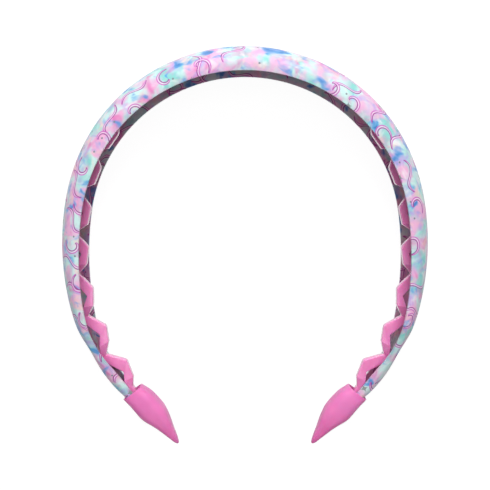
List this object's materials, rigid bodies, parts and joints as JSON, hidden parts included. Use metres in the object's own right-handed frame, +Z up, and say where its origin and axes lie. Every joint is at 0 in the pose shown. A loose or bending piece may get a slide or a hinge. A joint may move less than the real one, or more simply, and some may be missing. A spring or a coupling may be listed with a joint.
{
  "type": "adjustable headband",
  "caption": "Hollow crowned headband with a pastel print, flexible zigzag comb strips inside its legs and leaf-shaped end caps; keeps hair back from the face.",
  "frame": {"origin": "bottom centre of the headband's box as it lies on its side, on the rim plane of the band", "axes": "+Y from the end caps towards the crown of the arch, +Z up across the width of the band, +X to the right leg as seen from above"},
  "size_m": [0.1426, 0.1562, 0.022],
  "materials": {
    "band_print": "smooth printed satin cloth",
    "strip_pink": "soft satin moulded plastic",
    "cap_pink": "soft matte moulded plastic"
  },
  "bodies": {
    "root": {"band": "band_print", "zigzag_left": "strip_pink", "zigzag_right": "strip_pink", "cap_left": "cap_pink", "cap_right": "cap_pink"}
  },
  "joints": []
}
